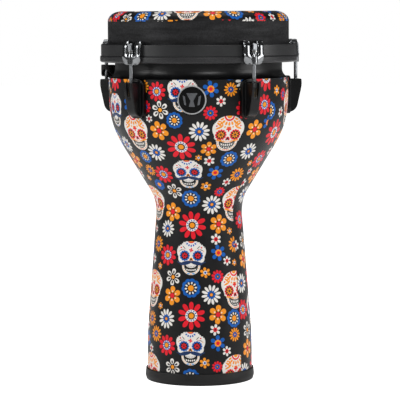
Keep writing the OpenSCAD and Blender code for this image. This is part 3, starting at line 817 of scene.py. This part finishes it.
def softened(node_name, piece_name, body, material, voxel, rounds, reshape=None):
    """A CAD node's shape with every edge rounded over, as a casting or moulding comes out: the
    shape is remeshed in small cells, each point is drawn towards its neighbours, and a reshape
    function may then move the points."""
    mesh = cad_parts[node_name].data.copy()
    mesh.name = piece_name
    cast = bpy.data.objects.new(piece_name, mesh)
    bpy.context.scene.collection.objects.link(cast)
    remesh = cast.modifiers.new("cells", "REMESH")
    remesh.mode = "VOXEL"
    remesh.voxel_size = voxel
    smooth = cast.modifiers.new("edges", "SMOOTH")
    smooth.factor = 0.5
    smooth.iterations = rounds
    bpy.context.view_layer.update()
    made = bpy.data.meshes.new_from_object(cast.evaluated_get(bpy.context.evaluated_depsgraph_get()))
    cast.modifiers.clear()
    cast.data = made
    if reshape:
        made.vertices.foreach_set("co", reshape(mesh_points(made)).ravel())
    made.polygons.foreach_set("use_smooth", np.ones(len(made.polygons), dtype=bool))
    made.materials.clear()
    made.materials.append(material)
    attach(cast, body)
    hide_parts(node_name)
    return cast


# The strap's loop round its rod: out from the rod, along towards the other end, and how far the
# webbing's two edges lie under the claw, in millimetres
STRAP_LOOP = np.array([
    [-10.7, 31, 9, 29], [-8.3, 21, 6.5, 26.5], [-1.5, 11, 4.5, 22.5], [5, 5, 3.4, 20.5],
    [7, -0.5, 3.4, 19], [4, -5.5, 3.4, 12], [-0.5, -7.2, 3.4, 10], [-5.5, -4.5, 3.4, 13],
    [-8, 2, 3.4, 17.8], [-9.4, 10, 4, 19], [-10.9, 20, 6.5, 26.5], [-13.1, 31, 9, 29]])
STRAP_MM = {"width": 20, "thickness": 1.8, "sag": 16, "rod radius": 142.5, "claw": 448.3,
            "hang radius": 131.6, "first rod": -198, "span": 72, "hang from": 13.7}


def strap_line():
    """The strap's middle line, as rows of x, y, upper and lower edge in mm: the loop at one rod,
    the free stretch, which hangs as sag * (1 + cos(pi * share)) / 2, and the mirrored loop at
    the other rod, joined by a Catmull-Rom line."""
    size = STRAP_MM

    def polar(radius, back):
        turn = np.radians(size["first rod"] - np.asarray(back, dtype=float))
        return radius * np.stack([np.cos(turn), np.sin(turn)], axis=-1)

    place = (polar(size["rod radius"], 0) + STRAP_LOOP[:, :1] * polar(1, 0)
             + STRAP_LOOP[:, 1:2] * polar(1, 90))
    loop = np.concatenate([place, size["claw"] - STRAP_LOOP[:, 2:]], axis=1)
    half = size["span"] / 2
    back = np.linspace(size["hang from"], size["span"] - size["hang from"], 11)[1:-1]
    share = (back - half) / (half - size["hang from"])
    top = size["claw"] - STRAP_LOOP[-1, 2] - size["sag"] * (1 + np.cos(np.pi * share)) / 2
    free = np.column_stack([polar(size["hang radius"], back), top, top - size["width"]])
    axis = 2 * math.radians(size["first rod"] - half)
    mirror = np.array([[math.cos(axis), math.sin(axis)], [math.sin(axis), -math.cos(axis)]])
    other = np.concatenate([loop[:, :2] @ mirror, loop[:, 2:]], axis=1)[::-1]
    knots = np.concatenate([loop, free, other])
    before = np.concatenate([knots[:1], knots[:-2]])[:, None]
    first, second = knots[:-1, None], knots[1:, None]
    after = np.concatenate([knots[2:], knots[-1:]])[:, None]
    f = np.linspace(0, 1, 12, endpoint=False)[None, :, None]
    line = 0.5 * (2 * first + (second - before) * f
                  + (2 * before - 5 * first + 4 * second - after) * f ** 2
                  + (3 * first - before - 3 * second + after) * f ** 3)
    return np.concatenate([line.reshape(-1, 4), knots[-1:]])


def make_strap():
    """Black nylon webbing: a section with rounded edges swept along the strap's line, a cord
    edge at either side that is a little thicker, and the stitches that close its two loops."""
    line = strap_line()
    way = np.gradient(line[:, :2], axis=0)
    way /= np.linalg.norm(way, axis=1, keepdims=True)
    side = np.column_stack([way[:, 1], -way[:, 0], np.zeros(len(way))])
    around = 36
    turn = np.arange(around) * 2 * math.pi / around
    # a section squared off by powers of 0.45 and 0.5, an eighth thicker along its two edges
    thick = np.sign(np.cos(turn)) * np.abs(np.cos(turn)) ** 0.45
    high = np.sign(np.sin(turn)) * np.abs(np.sin(turn)) ** 0.5
    thick = thick * (1 - 0.12 * (np.abs(high) < 0.82)) * STRAP_MM["thickness"] / 2
    middle = np.column_stack([line[:, :2], (line[:, 2] + line[:, 3]) / 2])
    half = (line[:, 2] - line[:, 3]) / 2
    points = (middle[:, None] + thick[None, :, None] * side[:, None]
              + (high[None, :] * half[:, None])[..., None] * np.array([0, 0, 1]))
    rows = len(line)
    points = np.concatenate([points.reshape(-1, 3), middle[[0, -1]]])
    first_ring = np.arange(around)
    last_ring = first_ring + (rows - 1) * around
    faces = np.concatenate([
        grid(rows, around, closed=True), hub(first_ring, rows * around)[:, [2, 1, 0, 3]],
        hub(last_ring, rows * around + 1)])[:, ::-1]
    strap = new_piece("webbing_strap", points * MM, faces, "drum", "webbing", [webbing()], ["strap"])
    along = np.concatenate([[0], np.cumsum(np.linalg.norm(np.diff(line[:, :2], axis=0), axis=1))])
    across = high * STRAP_MM["width"] / 2
    weave = np.stack(np.broadcast_arrays(along[:, None], across[None, :]), axis=-1).reshape(-1, 2)
    weave = np.concatenate([weave, [[0, 0], [along[-1], 0]]])
    strap.data.uv_layers.new(name="weave").data.foreach_set("uv", weave[faces].ravel())

    # a box of stitches on each sewn end: two upright rows and two level ones, half sunk in
    stitch_out, stitch_half, stitch_radius = 0.95, 0.8 * MM, 0.28 * MM
    spots, ways = [], []
    for end, inwards in ((0, 1), (rows - 1, -1)):
        normal = side[end] if side[end][:2] @ middle[end][:2] > 0 else -side[end]
        flat = np.append(way[end] * inwards, 0)
        upright = [(away, step, [0, 0, 1]) for step in np.arange(-7, 7.1, 2) for away in (1.5, 8.5)]
        level = [(away, step, flat) for away in np.arange(3, 7.6, 2) for step in (-7.8, 7.8)]
        for away, step, direction in upright + level:
            spots.append(middle[end] + flat * away + [0, 0, step] + normal * stitch_out)
            ways.append(direction)
    stitches = capsules(np.array(spots) * MM, np.array(ways), stitch_half, stitch_radius)
    new_piece("strap_stitches", *stitches, "drum", "webbing", [sewing_thread()])


def capsules(spots, ways, half_length, radius):
    """Points and faces of short rounded rods, one at each spot, along its way: an ellipsoid of
    rings at heights half_length * cos(a) and radii radius * sin(a)."""
    rings, around, lid = 7, 8, 0.12
    a = np.linspace(lid, math.pi - lid, rings)
    b = np.arange(around) * 2 * math.pi / around
    ways = ways / np.linalg.norm(ways, axis=1, keepdims=True)
    along_no_way = np.array([0.31, 0.52, 0.8])
    first = np.cross(ways, along_no_way)
    first /= np.linalg.norm(first, axis=1, keepdims=True)
    second = np.cross(ways, first)
    round_ = (np.cos(b)[None, :, None] * first[:, None] + np.sin(b)[None, :, None] * second[:, None])
    points = (spots[:, None, None] + (half_length * np.cos(a))[None, :, None, None] * ways[:, None, None]
              + (radius * np.sin(a))[None, :, None, None] * round_[:, None])
    one = grid(rings, around, closed=True)[:, ::-1]
    each = rings * around
    lids = np.array([[0, 1, 2, 3], [0, 3, 4, 7], [4, 5, 6, 7]])
    faces = np.concatenate([one, lids, (lids + each - around)[:, ::-1]])
    faces = (faces[None] + (np.arange(len(spots)) * each)[:, None, None]).reshape(-1, 4)
    return points.reshape(-1, 3), faces


def webbing():
    """Nylon webbing in a herringbone: ribs 1.5 mm apart that turn back every 3.3 mm across."""
    material, tree, surface = finish("nylon_webbing", Roughness=0.62, Specular_IOR_Level=0.4)
    pitch, turned_back = 1.5, 3.3
    parts = node(tree, "SeparateXYZ", {0: node(tree, "UVMap", uv_map="weave").outputs[0]}).outputs
    zigzag = node(tree, "Math", {0: parts[1], 1: turned_back}, operation="PINGPONG").outputs[0]
    place = node(tree, "Math", {0: parts[0], 1: zigzag}, operation="ADD").outputs[0]
    phase = node(tree, "Math", {0: place, 1: 2 * math.pi / pitch}, operation="MULTIPLY").outputs[0]
    rib = node(tree, "Math", {0: phase}, operation="SINE").outputs[0]
    rib = node(tree, "MapRange", {"Value": rib, "From Min": -1}).outputs[0]
    shaded(tree, surface, rib, "#050506", "#1E1E20")
    bumped(tree, surface, rib, 0.25 * MM, 0.8)
    return material


def sewing_thread():
    """Bonded polyester thread, twisted: charcoal with a slight shine."""
    material, tree, surface = finish("sewing_thread", Roughness=0.45)
    twist = grain(tree, 0.3 * MM, 2.0)
    shaded(tree, surface, twist, "#1C1C1E", "#3C3C40")
    bumped(tree, surface, twist, 0.05 * MM)
    return material


def claw_facets(station):
    """A function that gives a claw its cast face, where t is the place across, z the height and
    the change is along the radius: each finger is crowned, -1.1 * ((|t| - 11) / 4.8)^2 mm, and
    above and below a V-shaped crease at z = 452 + 0.55 |t| mm the face leans back."""
    azimuth = math.radians(STATION_AZIMUTHS[station - 1])
    out = np.array([math.sin(azimuth), -math.cos(azimuth), 0])
    across = np.array([math.cos(azimuth), math.sin(azimuth), 0])
    band_face, web_top = 137.1, 459

    def reshape(points):
        mm = points / MM
        r, t, z = mm @ out, np.abs(mm @ across), mm[:, 2]
        depth = np.clip((r - band_face - 3) / 3, 0, 1)
        on_finger = np.clip((z - web_top) / 4, 0, 1)
        crown = -1.1 * np.clip((t - 11) / 4.8, -1.1, 1.1) ** 2 * on_finger
        crease = 452 + 0.55 * t
        lean = np.where(z > crease, -0.045 * (z - crease), -0.3 * (crease - z))
        barrel = t > 5
        change = depth * (crown + np.where(barrel, np.clip(lean, -2, 0), 0))
        return (mm + change[:, None] * out) * MM
    return reshape


# ---------- finishes of the CAD nodes ----------

def dress(names, material):
    """Puts a material on CAD nodes."""
    for name in names:
        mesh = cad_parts[name].data
        mesh.materials.clear()
        mesh.materials.append(material)


def moulded(name, low, high, roughness, grain_size, depth, gloss=0.4):
    """Moulded plastic: a fine spark-eroded grain, a little uneven in gloss."""
    material, tree, surface = finish(name, Roughness=roughness, Specular_IOR_Level=gloss)
    fine = grain(tree, grain_size, 3.0)
    broad = grain(tree, 30 * MM, 3.0)
    shaded(tree, surface, broad, low, high)
    tree.links.new(spread(tree, broad, roughness - 0.06, roughness + 0.08), surface.inputs["Roughness"])
    bumped(tree, surface, fine, depth, 0.5)
    return material


def plated(name, low, high, roughness, grain_size, depth):
    """Plated or bare metal: nearly a mirror, with slight waviness left by polishing."""
    material, tree, surface = finish(name, Metallic=1.0, Roughness=roughness)
    fine = grain(tree, grain_size, 2.0)
    broad = grain(tree, 9 * MM, 4.0)
    shaded(tree, surface, broad, low, high)
    tree.links.new(spread(tree, fine, roughness * 0.7, roughness * 1.4), surface.inputs["Roughness"])
    bumped(tree, surface, broad, depth, 0.4)
    return material


def threaded_steel():
    """Zinc-plated steel rod: drawn bright above, with a rolled thread of 1.058 mm pitch on the
    length below the lug's top, whose roots are darkened in the colour as painted shade."""
    material, tree, surface = finish("zinc_plated_rod", Metallic=1.0, Roughness=0.3)
    place = node(tree, "TexCoord").outputs["Object"]
    height = node(tree, "SeparateXYZ", {0: place}).outputs[2]
    pitch, thread_top = 1.058 * MM, 431 * MM
    phase = node(tree, "Math", {0: height, 1: 2 * math.pi / pitch}, operation="MULTIPLY").outputs[0]
    ridge = node(tree, "Math", {0: phase}, operation="SINE").outputs[0]
    ridge = node(tree, "MapRange", {"Value": ridge, "From Min": -1}).outputs[0]
    plain = node(tree, "Math", {0: height, 1: thread_top}, operation="GREATER_THAN").outputs[0]
    ridge = node(tree, "Math", {0: ridge, 1: plain}, operation="MAXIMUM").outputs[0]
    drawn = node(tree, "Mapping", {"Vector": place, "Scale": (8, 8, 0.5)}).outputs[0]
    streak = grain(tree, 4 * MM, 3.0, drawn)
    # the thread's roots are painted darker than its ridges: painted shade in the grooves
    shaded(tree, surface, node(tree, "Math", {0: ridge, 1: spread(tree, streak, 0.7, 1)},
                               operation="MULTIPLY").outputs[0], "#3C3D3E", "#A6A9AC")
    tree.links.new(spread(tree, streak, 0.22, 0.42), surface.inputs["Roughness"])
    bumped(tree, surface, ridge, 0.3 * MM, 0.7)
    return material


def collar_cloth():
    """Resin-stiffened polyester collar: matt black, with fine pebbly threads and faint level
    streaks where the resin has pooled."""
    material, tree, surface = finish("stiffened_polyester", Specular_IOR_Level=0.24)
    place = node(tree, "TexCoord").outputs["Object"]
    drawn_out = node(tree, "Mapping", {"Vector": place, "Scale": (1, 1, 6)}).outputs[0]
    streaks = grain(tree, 44 * MM, 2.0, drawn_out)
    threads = grain(tree, 2.4 * MM, 3.0, place, 0.7)
    both = node(tree, "Math", {0: threads, 1: streaks}, operation="MULTIPLY").outputs[0]
    both = node(tree, "MapRange", {"Value": both, "From Min": 0.1, "From Max": 0.38}).outputs[0]
    shaded(tree, surface, both, "#010102", "#232325")
    tree.links.new(spread(tree, streaks, 0.8, 0.36), surface.inputs["Roughness"])
    bumped(tree, surface, threads, 0.5 * MM)
    return material


def hoop_cover():
    """Black textured covering of the flesh hoop: a pebbled skin with a dull shine."""
    material, tree, surface = finish("pebbled_cover", Roughness=0.42, Specular_IOR_Level=0.4)
    cells = node(tree, "TexVoronoi", {"Vector": node(tree, "TexCoord").outputs["Object"],
                                      "Scale": 1 / (1.6 * MM)}).outputs[0]
    shaded(tree, surface, cells, "#121213", "#2C2C2E")
    bumped(tree, surface, cells, 0.25 * MM, 0.8)
    return material


def dress_all():
    """The finishes of the CAD nodes, and the pieces that replace the cast and moulded ones."""
    black = moulded("satin_moulded_plastic", "#040405", "#0B0B0C", 0.34, 0.9 * MM, 0.05 * MM)
    dress(["shell_stem", "shell_bowl", "shell_neck"], black)
    dress(["foot_ring"], moulded("moulded_rubber", "#0A0A0A", "#161616", 0.48, 0.7 * MM, 0.04 * MM))
    dress(["head_collar"], collar_cloth())
    dress(["flesh_hoop"], hoop_cover())
    dress(["rim_band"], moulded("powder_coated_steel", "#1A1A1B", "#2B2C2D", 0.36, 1.1 * MM, 0.03 * MM))
    chrome = plated("chrome_plate", "#7A7C7E", "#9C9EA0", 0.14, 3 * MM, 0.03 * MM)
    zinc = plated("zinc_plate", "#8E9194", "#A8ABAE", 0.3, 0.6 * MM, 0.03 * MM)
    for i in STATIONS:
        softened(f"claw_{i}", f"cast_claw_{i}", "hoops", chrome, 0.4 * MM, 8, claw_facets(i))
    nickel = plated("nickel_washer", "#C4C2BC", "#D6D5D0", 0.18, 1 * MM, 0.03 * MM)
    dress([f"rod_washer_{i}" for i in STATIONS], nickel)
    dress([f"lug_screws_{i}" for i in STATIONS], zinc)
    dress([f"tension_rod_{i}" for i in STATIONS], threaded_steel())
    nylon = moulded("glass_filled_nylon", "#030304", "#09090A", 0.3, 0.8 * MM, 0.05 * MM, 0.28)
    for i in STATIONS:
        softened(f"lug_{i}", f"moulded_lug_{i}", "drum", nylon, 0.6 * MM, 4)
    # the brass is darkened partly as aged brass and partly as painted shade, for the nuts that sit deep in
    # the lugs' grooves
    brass = plated("turned_brass", "#5E4A28", "#725A34", 0.45, 0.8 * MM, 0.03 * MM)
    dress([f"lug_nut_{i}" for i in STATIONS], brass)
    dress(["badge_plate"], moulded("badge_enamel", "#020202", "#040404", 0.1, 3 * MM, 0.005 * MM))
    dress(["badge_emblem"], plated("dark_chrome", "#7C7E82", "#96989C", 0.3, 1 * MM, 0.02 * MM))
    dress(["badge_ring"], plated("turned_aluminium", "#DDDEDF", "#F0F0F1", 0.3, 0.5 * MM, 0.02 * MM))
    acetal = moulded("acetal", "#09090A", "#131314", 0.36, 0.8 * MM, 0.04 * MM)
    softened("strap_buckle", "moulded_buckle", "drum", acetal, 0.4 * MM, 4)


bpy.context.scene.view_settings.view_transform = "Standard"
add_camera()
add_studio()
make_cloth()
make_film()
make_strap()
dress_all()
